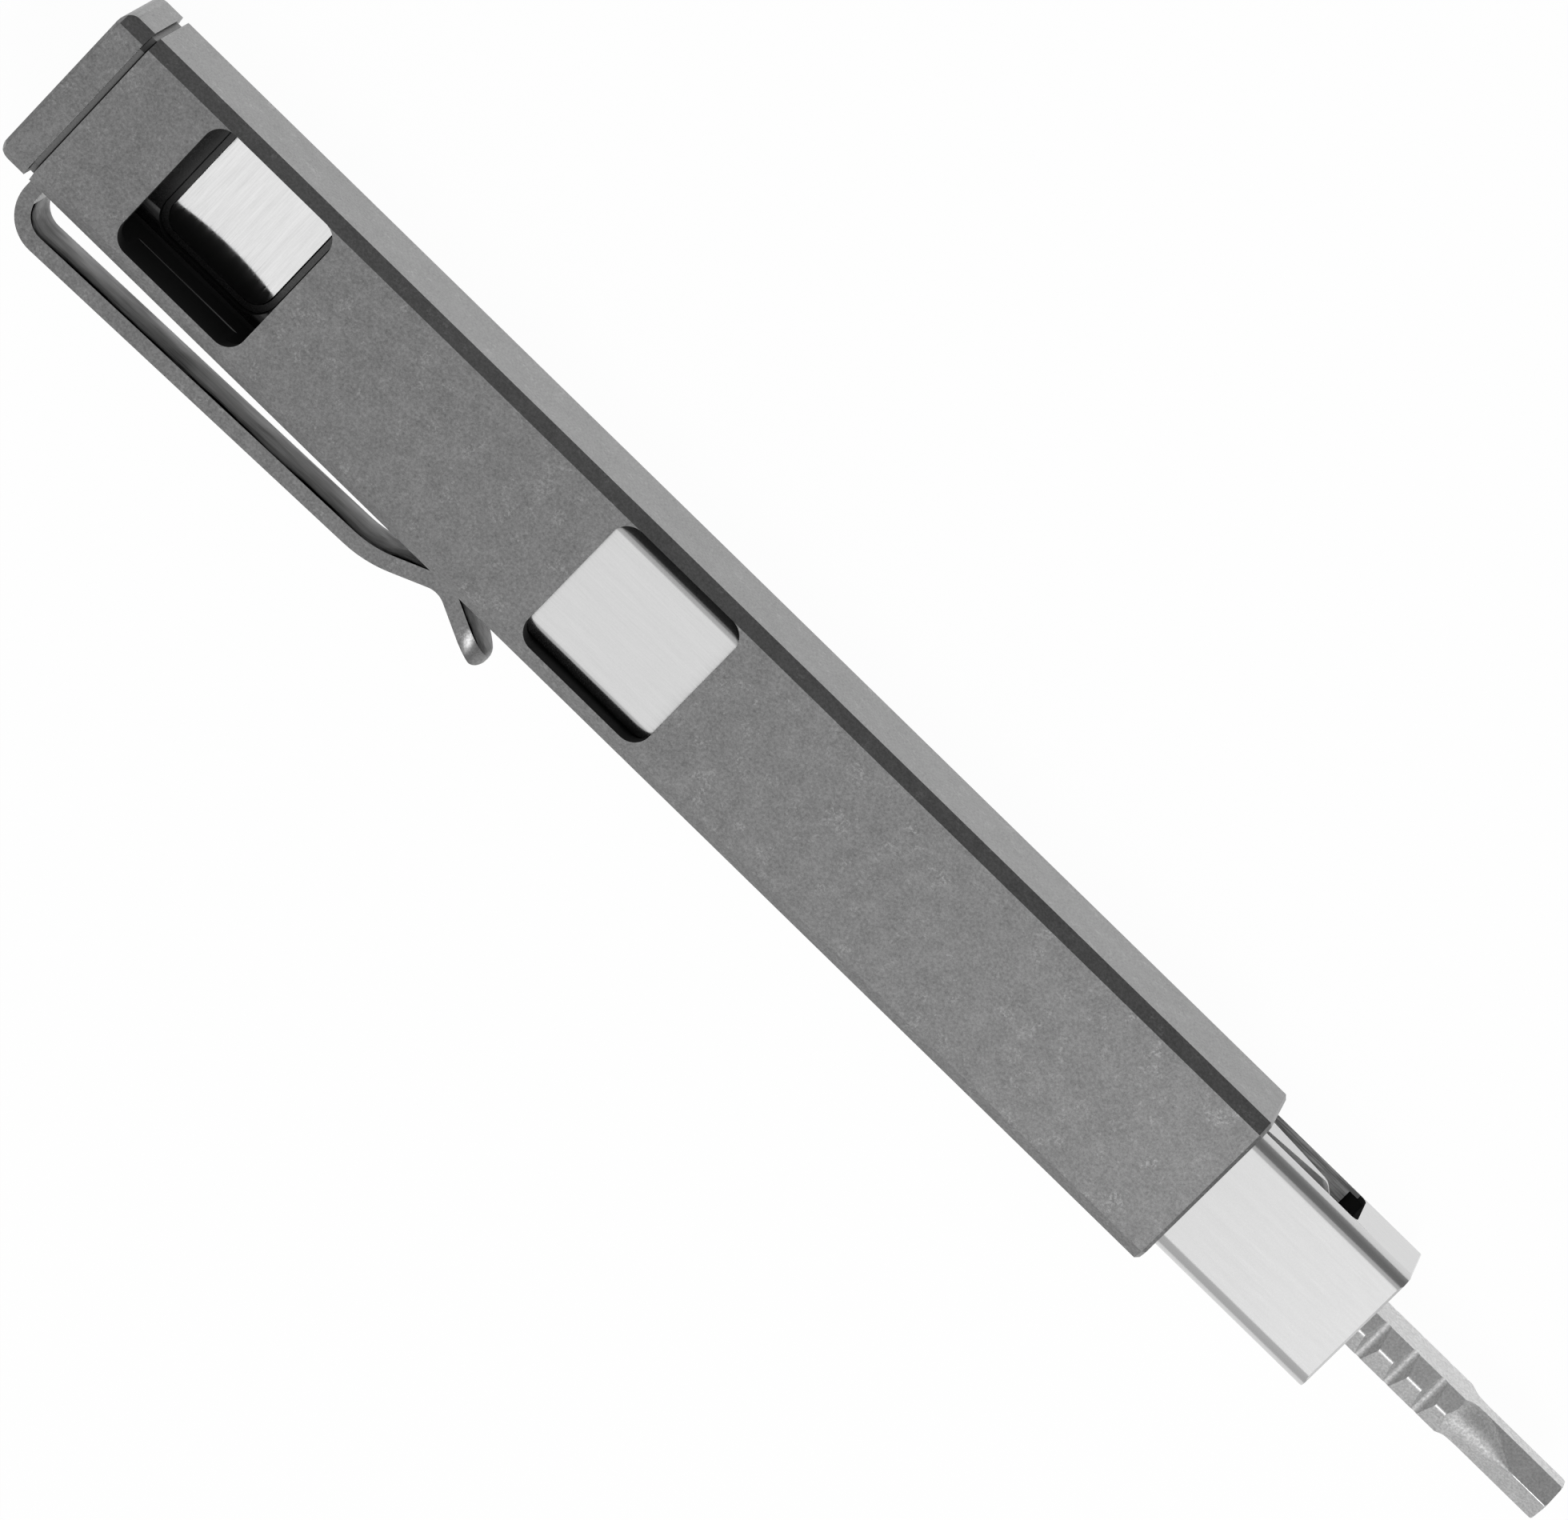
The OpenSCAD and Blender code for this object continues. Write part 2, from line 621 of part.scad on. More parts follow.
// Half of a bit's turned outline: radius and distance from its middle, thinner than its hexagon
function turned_profile(af) =
    let (m = bit_body_l / 2, e = bit_l / 2, big = bit_w / 2, small = af / 2 * neck_share, n = 8)
    concat([[big, 0]], [for (i = [0:n]) let (a = 90 * i / n)
        [small + (big - small) * (1 - sin(a)), m + (e - m) * neck_l_share * (1 - cos(a))]],
        [[small, e], [0, e], [0, 0]]);

// One half of a bit, from its middle to the end with a hexagon of the given key size
module bit_half(af) {
    r = af / 2 * apex_share;
    tip_break = af / 12;
    intersection() {
        rotate([0, 90, 0]) rotate_extrude() polygon(turned_profile(af));
        along_x(0, bit_l / 2) bit_section(0);
    }
    intersection() {
        translate([bit_body_l / 2, 0, 0]) rotate([0, 90, 0])
            cylinder(h = bit_l / 2 - bit_body_l / 2, r = r, $fn = 6);
        rotate([0, 90, 0]) rotate_extrude()
            polygon([[0, 0], [r, 0], [r, bit_l / 2 - tip_break], [r - tip_break, bit_l / 2], [0, bit_l / 2]]);
    }
}

// Round cut across one edge of the bit, with its root towards the bit's middle
module notch() {
    r = notch_w / 2;
    translate([0, 0, bit_w / 2 - notch_depth + r]) rotate([90, 0, 0])
        linear_extrude(2 * bit_t, center = true) {
            circle(r);
            translate([-r, 0]) square([notch_w, r]);
        }
}

module bit() {
    difference() {
        union() {
            bit_half(hex_af);
            mirror([1, 0, 0]) bit_half(rear_hex_af);
        }
        for (i = notch_rows, side = [0, 1])
            mirror([0, 0, side]) translate([i * notch_pitch, 0, 0]) notch();
    }
}

module spare_bit() {
    color("slategray") placed() translate([spare_mid_x, bit_y, 0]) bit();
}

module screwdriver_bit() {
    color("slategray") placed() translate([bit_mid_x, bit_y, 0]) bit();
}

housing();
end_cap();
cap_screws();
clip_foot();
clip_screws();
pocket_clip();
rear_keeper_plate();
front_keeper_plate();
stop_screw();
carriage();
slide_magnet();
side_spring_root();
side_spring();
side_spring_screws();
bit_stop_block();
bit_stop_pin();
bit_magnet();
bit_retaining_wire();
spare_bit();
screwdriver_bit();
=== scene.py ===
"""Looks of a bar-shaped pocket screwdriver: stonewashed housing, brushed steel carriage and a satin bit."""

import json
import math

import bmesh
import bpy
from mathutils import Euler, Matrix, Vector

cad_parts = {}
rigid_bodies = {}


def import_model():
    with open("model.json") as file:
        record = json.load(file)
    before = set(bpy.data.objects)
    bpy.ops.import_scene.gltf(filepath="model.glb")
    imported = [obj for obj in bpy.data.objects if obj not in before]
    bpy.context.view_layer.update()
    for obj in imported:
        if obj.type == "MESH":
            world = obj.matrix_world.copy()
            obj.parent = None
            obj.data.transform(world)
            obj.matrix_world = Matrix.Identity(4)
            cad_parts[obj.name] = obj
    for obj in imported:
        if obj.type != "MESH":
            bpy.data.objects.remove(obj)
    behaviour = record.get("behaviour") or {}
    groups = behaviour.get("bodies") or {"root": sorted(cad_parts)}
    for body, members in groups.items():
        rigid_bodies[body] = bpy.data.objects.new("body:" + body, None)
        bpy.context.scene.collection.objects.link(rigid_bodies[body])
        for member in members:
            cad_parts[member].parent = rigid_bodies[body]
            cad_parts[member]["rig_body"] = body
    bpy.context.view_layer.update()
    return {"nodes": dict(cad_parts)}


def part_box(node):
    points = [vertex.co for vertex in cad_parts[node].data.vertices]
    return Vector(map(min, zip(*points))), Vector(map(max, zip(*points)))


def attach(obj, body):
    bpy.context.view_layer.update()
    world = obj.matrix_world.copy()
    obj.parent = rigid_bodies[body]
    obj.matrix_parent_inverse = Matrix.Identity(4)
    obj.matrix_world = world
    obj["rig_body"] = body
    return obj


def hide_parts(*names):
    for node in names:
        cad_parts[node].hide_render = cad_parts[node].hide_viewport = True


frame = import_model()

MM = 0.001
housing_low, housing_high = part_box("housing")
clip_low, clip_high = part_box("pocket_clip")
carriage_low, carriage_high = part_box("carriage")
keeper_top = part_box("rear_keeper_plate")[1].z

# Nearly all values of a noise lie between these two

usual_low = 0.3
usual_high = 0.7


def placed(name, data):
    """A new object in the scene."""
    obj = bpy.data.objects.new(name, data)
    bpy.context.scene.collection.objects.link(obj)
    return obj


# Shader values and finishes


class Value:
    """A shader socket that takes part in arithmetic."""

    def __init__(self, finish, socket):
        self.finish = finish
        self.socket = socket

    def _with(self, operation, first, second):
        return self.finish.node("ShaderNodeMath", {0: first, 1: second}, operation=operation)

    def __add__(self, other):
        return self._with("ADD", self, other)

    def __radd__(self, other):
        return self._with("ADD", other, self)

    def __sub__(self, other):
        return self._with("SUBTRACT", self, other)

    def __rsub__(self, other):
        return self._with("SUBTRACT", other, self)

    def __mul__(self, other):
        return self._with("MULTIPLY", self, other)

    def __rmul__(self, other):
        return self._with("MULTIPLY", other, self)


class Finish:
    """One finish: a material with its node tree."""

    def __init__(self, name):
        self.material = bpy.data.materials.new(name)
        self.material.use_nodes = True
        self.nodes = self.material.node_tree.nodes
        self.links = self.material.node_tree.links
        self.nodes.clear()
        self.place = self.node("ShaderNodeTexCoord", output="Object")

    def node(self, kind, sockets=None, output=0, **settings):
        """A node of that kind: its settings come first, then its sockets. Returns one output."""
        made = self.nodes.new(kind)
        for setting, choice in settings.items():
            setattr(made, setting, choice)
        for socket, value in (sockets or {}).items():
            if isinstance(value, Value):
                self.links.new(value.socket, made.inputs[socket])
            elif made.inputs[socket].type == "RGBA":
                made.inputs[socket].default_value = (*value, 1)
            else:
                made.inputs[socket].default_value = value
        return Value(self, made.outputs[output]) if len(made.outputs) else None

    def stretched(self, factors):
        """Object coordinates times these factors along X, Y and Z."""
        return self.node("ShaderNodeVectorMath", {0: self.place, 1: factors}, operation="MULTIPLY")

    def noise(self, per_mm, detail=2, roughness=0.5, along=(1, 1, 1), distortion=0):
        """Noise between 0 and 1 with that many grains a millimetre."""
        return self.node(
            "ShaderNodeTexNoise",
            {
                "Vector": self.stretched(along),
                "Scale": per_mm / MM,
                "Detail": detail,
                "Roughness": roughness,
                "Distortion": distortion,
            },
        )

    def band(self, value, low, high, start=0, end=1):
        """value mapped from low..high to start..end and held there."""
        return self.node(
            "ShaderNodeMapRange",
            {"Value": value, "From Min": low, "From Max": high, "To Min": start, "To Max": end},
        )

    def larger(self, first, second):
        return self.node("ShaderNodeMath", {0: first, 1: second}, operation="MAXIMUM")

    def distance_from(self, value, middle):
        return self.node("ShaderNodeMath", {0: value - middle}, operation="ABSOLUTE")

    def along_axis(self, axis):
        """Object coordinate along X, Y or Z, for axis 0, 1 or 2."""
        return self.node("ShaderNodeSeparateXYZ", {0: self.place}, output=axis)

    def warp(self, node):
        """Height in micrometres of a ground face that leans a little across the middle of that node."""
        low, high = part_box(node)
        half_l = (high.x - low.x) / 2 / MM
        off_x = (self.along_axis(0) - (low.x + high.x) / 2) * (1 / MM)
        off_y = (self.along_axis(1) - (low.y + high.y) / 2) * (1 / MM)
        return off_y * (half_l**2 - off_x * off_x)

    def tint(self, share, dark, light):
        """Colour between dark and light."""
        return self.node(
            "ShaderNodeMix", {"Factor": share, "A": dark, "B": light}, output=2, data_type="RGBA"
        )

    def shade(self, share, level, spread):
        """Grey about that level, darker and lighter by spread as share goes from 0 to 1."""
        return self.tint(share, grey(level * (1 - spread)), grey(level * (1 + spread)))

    def roughness(self, grain, middle, swing):
        """Roughness about middle that falls by swing to each side as the grain rises."""
        return self.band(grain, usual_low, usual_high, middle + swing, middle - swing)

    def bump(self, height, depth_mm):
        """Normal of a surface that rises by depth_mm for each unit of height."""
        return self.node("ShaderNodeBump", {"Height": height, "Distance": depth_mm * MM, "Strength": 1})

    def metal(self, colour, roughness, normal=None, metallic=1.0, gloss=0.5):
        """Closes the tree. gloss is the specular level of what isn't metal."""
        sockets = {"Base Color": colour, "Roughness": roughness, "Metallic": metallic}
        sockets["Specular IOR Level"] = gloss
        if normal is not None:
            sockets["Normal"] = normal
        shader = self.node("ShaderNodeBsdfPrincipled", sockets)
        self.node("ShaderNodeOutputMaterial", {"Surface": shader})
        return self.material


def grey(level):
    return (level, level, level)


def stonewashed(name, level):
    """Tumbled dark grey metal: fine grain, soft mottle, light fuzzy marks and a few short scratches."""
    f = Finish(name)
    grain = f.noise(5.5, detail=4, roughness=0.75)
    mottle = f.noise(0.7, detail=3)
    spots = f.band(f.noise(0.8, detail=2, distortion=0.5), 0.56, 0.7)
    marks = spots * f.band(f.noise(4.5, detail=4, roughness=0.7), 0.5, 0.66)
    hair = f.distance_from(f.noise(0.7, detail=1, along=(1, 0.35, 0.6), distortion=1.5), 0.5)
    scratches = f.band(hair, 0, 0.005, 1, 0) * f.band(f.noise(0.3, detail=0), 0.6, 0.66)
    light = 0.5 + (grain - 0.5) * 1.9 + (mottle - 0.5) * 0.45 + marks * 1.1 + scratches * 0.25
    colour = f.shade(light, level, spread=0.4)
    height = grain * 0.6 + mottle * 0.3 - marks * 0.5
    return f.metal(colour, f.roughness(grain, 0.34, 0.04), f.bump(height, depth_mm=0.005))


def brushed(name, level, along, rough=0.2, contrast=0.06, metallic=1.0, spread=0.15, rise=0.8, warped=None):
    """Steel with a fine grain that runs along one axis; warped is a node whose top isn't quite flat."""
    f = Finish(name)
    grain = f.noise(9, detail=3, roughness=0.6, along=along)
    broad = f.noise(2.2, detail=2, along=along)
    fine = f.noise(7, detail=3, roughness=0.7)
    light = 0.5 + (grain - 0.5) * contrast * 5 + (broad - 0.5) * contrast * 4 + (fine - 0.5) * 0.3
    colour = f.shade(light, level, spread)
    height = grain * rise
    if warped:
        height = height + f.warp(warped)
    return f.metal(colour, f.roughness(grain, rough, 0.03), f.bump(height, depth_mm=0.001), metallic)


def blasted(name, level, rough):
    """Bit steel with a fine blasted grain."""
    f = Finish(name)
    grain = f.noise(6, detail=4, roughness=0.75)
    cloud = f.noise(0.9, detail=2)
    light = 0.5 + (grain - 0.5) * 3 + (cloud - 0.5) * 0.3
    colour = f.shade(light, level, spread=0.25)
    return f.metal(colour, f.roughness(grain, rough, 0.04), f.bump(grain, depth_mm=0.005), metallic=0.75)


def plain_metal(name, level, rough, metallic=1.0, gloss=0.5):
    """A turned, plated or blackened surface with a faint grain."""
    f = Finish(name)
    grain = f.noise(8, detail=2)
    colour = f.shade(grain, level, spread=0.15)
    return f.metal(colour, f.roughness(grain, rough, 0.03), metallic=metallic, gloss=gloss)


def shaded_towards_top(name, top, foot, light):
    """A face painted black along its top edge as shade and lighter towards its foot as if lit there, with
    streaks.
    """
    f = Finish(name)
    rim = top - 0.2 * MM
    rim_foot = top - 0.9 * MM
    height = f.along_axis(2)
    cloud = f.noise(0.5, detail=3, along=(0.5, 1, 1))
    streaks = f.noise(4, detail=3, along=(0.08, 1, 1))
    # Painted shade: black at the top edge and lighter towards the foot, standing in for the shade in the
    # gap beside the housing.
    painted_light_share = f.band(height, rim, rim_foot) * 0.35 + f.band(height, rim_foot, foot) * 0.5
    share = f.band(painted_light_share + (cloud - 0.5) * 0.9 + (streaks - 0.5) * 0.4, 0, 1)
    colour = f.tint(share, grey(0), grey(light))
    normal = f.bump(streaks, depth_mm=0.002)
    return f.metal(colour, f.roughness(streaks, 0.5, 0.05), normal, metallic=share * 0.42, gloss=0.0)


def jointed(name, level, joint):
    """A milled groove painted black as shade along the joint at its end, where the gap to the housing lies
    in shadow.
    """
    f = Finish(name)
    # Painted shade: the groove turns black over the last 0.16 mm before the joint.
    shade_start = joint - 0.16 * MM
    shade_end = joint - 0.09 * MM
    grain = f.noise(8, detail=2)
    joint_shade = f.band(f.along_axis(0), shade_start, shade_end)
    colour = f.tint(joint_shade, f.shade(grain, level, spread=0.15), grey(0.01))
    return f.metal(colour, f.roughness(grain, 0.45, 0.03))


housing_finish = stonewashed("stonewashed_housing", level=0.195)
# Painted light: the narrow sides take a lighter copy of the stonewashed finish, as if lit more.
sides_painted_lighter = stonewashed("stonewashed_sides_painted_lighter", level=0.245)
clip_finish = stonewashed("stonewashed_clip", level=0.19)
clip_inside_finish = shaded_towards_top("clip_inside_painted_shade", clip_high.z, clip_low.z, light=0.75)
groove_finish = jointed("milled_groove", level=0.17, joint=housing_low.x)
# Painted shade: the bore's floor and the keeper plates' rims are dark, and the inside walls and the
# carriage's relief are black, standing in for the shade in these hollows.
floor_painted_shade = plain_metal("bore_floor_painted_shade", level=0.08, rough=0.25)
wall_painted_shade = plain_metal("inside_walls_painted_shade", level=0.04, rough=0.6, metallic=0.0, gloss=0.0)
carriage_finish = brushed("lengthwise_brushed_steel", level=0.62, along=(0.05, 1, 1))
channel_finish = brushed(
    "milled_channel",
    level=0.88,
    along=(0.04, 1, 1),
    rough=0.5,
    contrast=0.5,
    metallic=0.3,
    spread=0.55,
)
# Painted shade: the carriage's broken edges are darker and rougher, standing in for the dark reflection
# along them.
edge_painted_shade = plain_metal("carriage_edges_painted_shade", level=0.3, rough=0.6)
keeper_finishes = {}
for place in ("rear", "front"):
    keeper_finishes[place] = brushed(
        "crosswise_brushed_" + place,
        level=0.7,
        along=(1, 0.05, 1),
        rough=0.06,
        contrast=0.18,
        rise=0.3,
        warped=place + "_keeper_plate",
    )
leaf_finish = brushed("polished_leaf", level=0.56, along=(0.06, 1, 1))
bit_finishes = [
    blasted("blasted_bit_facets", level=0.54, rough=0.4),
    # The broad flats are ground with less grain, and are also painted lighter than the facets, as if lit.
    blasted("ground_bit_flats_painted_lighter", level=0.68, rough=0.35),
    # Painted highlight: the lands of the edges and the crests past the ridges are lighter.
    blasted("bit_edges_painted_highlight", level=0.8, rough=0.4),
    blasted("blasted_bit_cuts", level=0.5, rough=0.64),
]
screw_finish = plain_metal("turned_screw_steel", level=0.5, rough=0.3)
magnet_finish = plain_metal("nickel_plate", level=0.65, rough=0.2)


# Machined pieces: copies of CAD nodes with broken edges, whose widths are in millimetres

housing_edge = 0.09
cap_edge = 0.12
strip_edge = 0.1
fine_edge = 0.05

weld_gap = 0.0005 * MM
flat_angle = math.radians(0.6)
sharp_angle = math.radians(28)


def stands_for(obj, node):
    """obj takes the place of a CAD node and moves with that node's body."""
    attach(obj, frame["nodes"][node]["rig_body"])
    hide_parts(node)


def machined(node, finishes, edge_mm, piece, which=None, edge_finish=-1):
    """A copy of a CAD node with its flat faces joined up and its sharp edges broken.

    which(centre, normal) gives the number of the finish that a face takes, and edge_finish that of the
    broken edges, where -1 is the finish beside them.
    """
    shape = bmesh.new()
    shape.from_mesh(frame["nodes"][node].data)
    bmesh.ops.remove_doubles(shape, verts=shape.verts, dist=weld_gap)
    bmesh.ops.dissolve_limit(shape, angle_limit=flat_angle, verts=shape.verts, edges=shape.edges)
    for face in shape.faces:
        face.smooth = True
        face.material_index = which(face.calc_center_median(), face.normal) if which else 0
    mesh = bpy.data.meshes.new(piece)
    shape.to_mesh(mesh)
    shape.free()
    for layer in ("custom_normal", "sharp_edge", "sharp_face"):
        if layer in mesh.attributes:
            mesh.attributes.remove(mesh.attributes[layer])
    for finish in finishes:
        mesh.materials.append(finish)
    obj = placed(piece, mesh)
    bevel = obj.modifiers.new("broken_edges", "BEVEL")
    bevel.width = edge_mm * MM
    bevel.segments = 2
    bevel.limit_method = "ANGLE"
    bevel.angle_limit = sharp_angle
    bevel.use_clamp_overlap = True
    bevel.miter_outer = "MITER_ARC"
    bevel.material = edge_finish
    flat = obj.modifiers.new("flat_faces", "WEIGHTED_NORMAL")
    flat.keep_sharp = False
    stands_for(obj, node)


# Which finish a face takes, by its middle and its normal. A face looks along an axis squarely, mostly or
# partly where its normal has more than this share there.

squarely = 0.9
mostly = 0.5
partly = 0.3
skin = 0.05 * MM
end_rim = 0.4 * MM
edge_chamfer = 0.88 * MM
relief_from_nose = 6.3 * MM
housing_width = housing_high.y - housing_low.y
housing_depth = housing_high.z - housing_low.z
housing_middle = (housing_low + housing_high) / 2


def under_skin(centre):
    """How far a point lies under the bar's faces and chamfers."""
    across = housing_width / 2 - abs(centre.y - housing_middle.y)
    deep = housing_depth / 2 - abs(centre.z - housing_middle.z)
    return min(across, deep, (across + deep - edge_chamfer) / math.sqrt(2))


def housing_face(centre, normal):
    """0 for the outside, 1 for its narrow sides, which are painted lighter as if lit, 2 for the bore's
    floor and 3 for other inside faces, which are painted dark as shade.
    """
    under_end = min(centre.x - housing_low.x, housing_high.x - centre.x)
    if under_skin(centre) > skin and under_end > end_rim:
        return 2 if normal.z > mostly else 3
    return 1 if abs(normal.y) > squarely else 0


def cap_face(centre, normal):
    """0 for the cap, 1 for its narrow sides, which are painted lighter as if lit, and 2 for the groove and
    the plug.
    """
    if under_skin(centre) > 4 * skin and abs(normal.x) < mostly:
        return 2
    return 1 if abs(normal.y) > squarely else 0


def clip_face(centre, normal):
    """1 for the side of the strip that looks at the housing, which takes the painted shade."""
    return 1 if normal.y > partly else 0


def carriage_face(centre, normal):
    """0 for the outside, 1 for the slot and 2 for its relief behind the nose, which is painted black as
    shade.
    """
    off_axis = centre - (carriage_low + carriage_high) / 2
    outwards = normal.y * off_axis.y + normal.z * off_axis.z
    between_ends = carriage_low.x + end_rim < centre.x < carriage_high.x - end_rim
    across = abs(normal.x) > partly and between_ends
    if outwards > -skin and not across:
        return 0
    return 2 if centre.x > carriage_high.x - relief_from_nose else 1


def keeper_face(centre, normal):
    """1 for the rim below the raised pad, which is painted dark as shade."""
    return 1 if centre.z < keeper_top - skin else 0


housing_finishes = [housing_finish, sides_painted_lighter, floor_painted_shade, wall_painted_shade]
machined("housing", housing_finishes, housing_edge, "housing_shell", housing_face)
cap_finishes = [housing_finish, sides_painted_lighter, groove_finish]
machined("end_cap", cap_finishes, cap_edge, "end_cap_shell", cap_face)
clip_finishes = [clip_finish, clip_inside_finish]
machined("pocket_clip", clip_finishes, strip_edge, "clip_spring", clip_face)
machined("clip_foot", [clip_finish], fine_edge, "clip_foot_strip")
carriage_finishes = [carriage_finish, channel_finish, wall_painted_shade, edge_painted_shade]
shaded_edges = carriage_finishes.index(edge_painted_shade)
machined("carriage", carriage_finishes, fine_edge, "carriage_bar", carriage_face, shaded_edges)
for place, finish in keeper_finishes.items():
    plate = place + "_keeper_plate"
    machined(plate, [finish, floor_painted_shade], fine_edge, place + "_keeper", keeper_face)
machined("side_spring", [leaf_finish], fine_edge, "side_leaf")
machined("side_spring_root", [leaf_finish], fine_edge, "side_leaf_root")
machined("bit_stop_block", [housing_finish], strip_edge, "bit_stop")


# Small nodes that keep their CAD shape

plain_nodes = {
    "cap_screws": screw_finish,
    "clip_screws": screw_finish,
    "stop_screw": screw_finish,
    "side_spring_screws": screw_finish,
    "bit_stop_pin": screw_finish,
    "slide_magnet": magnet_finish,
    "bit_magnet": magnet_finish,
    "bit_retaining_wire": leaf_finish,
}
for node, finish in plain_nodes.items():
    slots = frame["nodes"][node].data.materials
    slots.clear()
    slots.append(finish)


# Bits: a flat body with notched edges and a hexagon at both ends, drawn in millimetres about its middle

bit_low, bit_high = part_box("screwdriver_bit")
bit_half_l = (bit_high.x - bit_low.x) / 2 / MM
bit_half_w = (bit_high.z - bit_low.z) / 2 / MM
bit_half_t = (bit_high.y - bit_low.y) / 2 / MM
broad_face_half_w = 1.95
body_short_of_tip = 0.5
edge_r = 0.05
apex_r = 0.3

rear_hex_half_t = 1.25
hex_crest_r = 0.14
hex_overlap = 1
tip_round_l = 0.3
tip_round_depth = 0.12
tip_steps = 8
turned_steps = 128
blank_over_corner = 1.1

notch_pitch = 2.52
notch_root_r = 0.36
notch_apex_depth = 1.098
notch_half_angle = math.radians(31)
notch_root_steps = 8
notch_rows = (-2, -1, 0, 1, 2)

# The ridge's crest runs down to just under the hexagon's corner, quickly at the shoulder and then slowly.
# Its flank stays clear of the hexagon's flats and slopes in under them over the ridge's last part.

ridge_start = 6.53
ridge_l = 6.4
ridge_steps = 48
ridge_crowding = 1.4
ridge_lead = 0.02
ridge_end_left = 0.001
blank_over_body = 1.02
crest_under_corner = 0.03
crest_power = 1.5
shoulder_l = 0.6
shoulder_share = 0.4
shoulder_rise = 1.2
flank_over_flat = 1.12
flank_slope = 0.335
flank_blend = 8


def rounded(points, radii, steps=3):
    """A closed outline with its corners turned to these radii, which repeat along the points."""
    outline = []
    for index, point in enumerate(points):
        corner = Vector(point)
        radius = radii[index % len(radii)]
        before = (Vector(points[index - 1]) - corner).normalized()
        after = (Vector(points[(index + 1) % len(points)]) - corner).normalized()
        half = before.angle(after) / 2
        centre = corner + (before + after).normalized() * radius / math.sin(half)
        first = (corner + before * radius / math.tan(half) - centre).normalized()
        last = (corner + after * radius / math.tan(half) - centre).normalized()
        outline += [centre + radius * first.slerp(last, step / steps) for step in range(steps + 1)]
    return outline


def loft(rings):
    """A closed object through rings that have equally many points."""
    shape = bmesh.new()
    loops = [[shape.verts.new(point) for point in ring] for ring in rings]
    count = len(loops[0])
    for near, far in zip(loops, loops[1:]):
        for i in range(count):
            shape.faces.new((near[i], near[(i + 1) % count], far[(i + 1) % count], far[i]))
    shape.faces.new(loops[0])
    shape.faces.new(loops[-1])
    bmesh.ops.recalc_face_normals(shape, faces=shape.faces)
    mesh = bpy.data.meshes.new("loft")
    shape.to_mesh(mesh)
    shape.free()
    return placed("loft", mesh)


def combined(base, other, operation):
    """base with other added, cut away or kept in common."""
    step = base.modifiers.new("step", "BOOLEAN")
    step.operation = operation
    step.object = other
    step.solver = "EXACT"
    graph = bpy.context.evaluated_depsgraph_get()
    graph.update()
    mesh = bpy.data.meshes.new_from_object(base.evaluated_get(graph))
    base.modifiers.clear()
    base.data = mesh
    bpy.data.objects.remove(other)
    return base


def bar(outline, start, end):
    """An outline in Y and Z run along X."""
    return loft([[(x, y, z) for y, z in outline] for x in (start, end)])


def round_bar(stations):
    """A bar of elliptical section: distance along X, half thickness and half width at each station."""
    turns = [2 * math.pi * i / turned_steps for i in range(turned_steps)]
    rings = []
    for x, half_t, half_w in stations:
        rings.append([(x, half_t * math.cos(turn), half_w * math.sin(turn)) for turn in turns])
    return loft(rings)


def hex_corner(half_t):
    """Distance of a hexagon's corners from its middle."""
    return half_t / math.cos(math.radians(30))


def hexagon(half_t):
    """Outline with two corners on Z and two flats on Y."""
    corner = hex_corner(half_t)
    turns = [math.radians(90 + 60 * i) for i in range(6)]
    corners = [(corner * math.cos(turn), corner * math.sin(turn)) for turn in turns]
    return rounded(corners, (hex_crest_r, edge_r, edge_r))


def ridge_stations(half_t):
    """The turned ridges that run out from the body's edges onto the hexagon."""
    crest = hex_corner(half_t) - crest_under_corner
    spread = bit_half_w - crest
    stations = [(ridge_start - ridge_lead, 2 * bit_half_w, bit_half_w * blank_over_body)]
    for i in range(ridge_steps + 1):
        run = ridge_l * (i / ridge_steps) ** ridge_crowding
        left = max(ridge_l - run, ridge_end_left)
        slow = (1 - shoulder_share) * (left / ridge_l) ** crest_power
        quick = shoulder_share * math.exp(-run / shoulder_l)
        over_flat = flank_over_flat**-flank_blend
        sloped = (flank_slope * left) ** -flank_blend
        flank = half_t * (over_flat + sloped) ** (-1 / flank_blend)
        shoulder = shoulder_rise * math.exp(-((run / shoulder_l) ** 2))
        stations.append((ridge_start + run, flank + shoulder, crest + spread * (slow + quick)))
    return stations


def bit_end(half_t):
    """The hexagon with its corners turned down at the tip."""
    corner = hex_corner(half_t)
    blank = corner * blank_over_corner
    tip = bar(hexagon(half_t), ridge_start - hex_overlap, bit_half_l)
    turned = [(0, blank, blank)]
    for i in range(tip_steps + 1):
        turn = math.radians(90 * i / tip_steps)
        radius = corner - tip_round_depth * (1 - math.cos(turn))
        turned.append((bit_half_l - tip_round_l * (1 - math.sin(turn)), radius, radius))
    return combined(tip, round_bar(turned), "INTERSECT")


def notch(x, side):
    """V-shaped cutter with a round root across one edge of the body."""
    tall = 1.0
    wide = (tall + notch_apex_depth) * math.tan(notch_half_angle)
    corners = [(-wide, tall), (0, -notch_apex_depth), (wide, tall)]
    outline = rounded(corners, (notch_root_r,), notch_root_steps)
    ends = (-2 * bit_half_t, 2 * bit_half_t)
    return loft([[(x + px, y, side * (bit_half_w + pz)) for px, pz in outline] for y in ends])


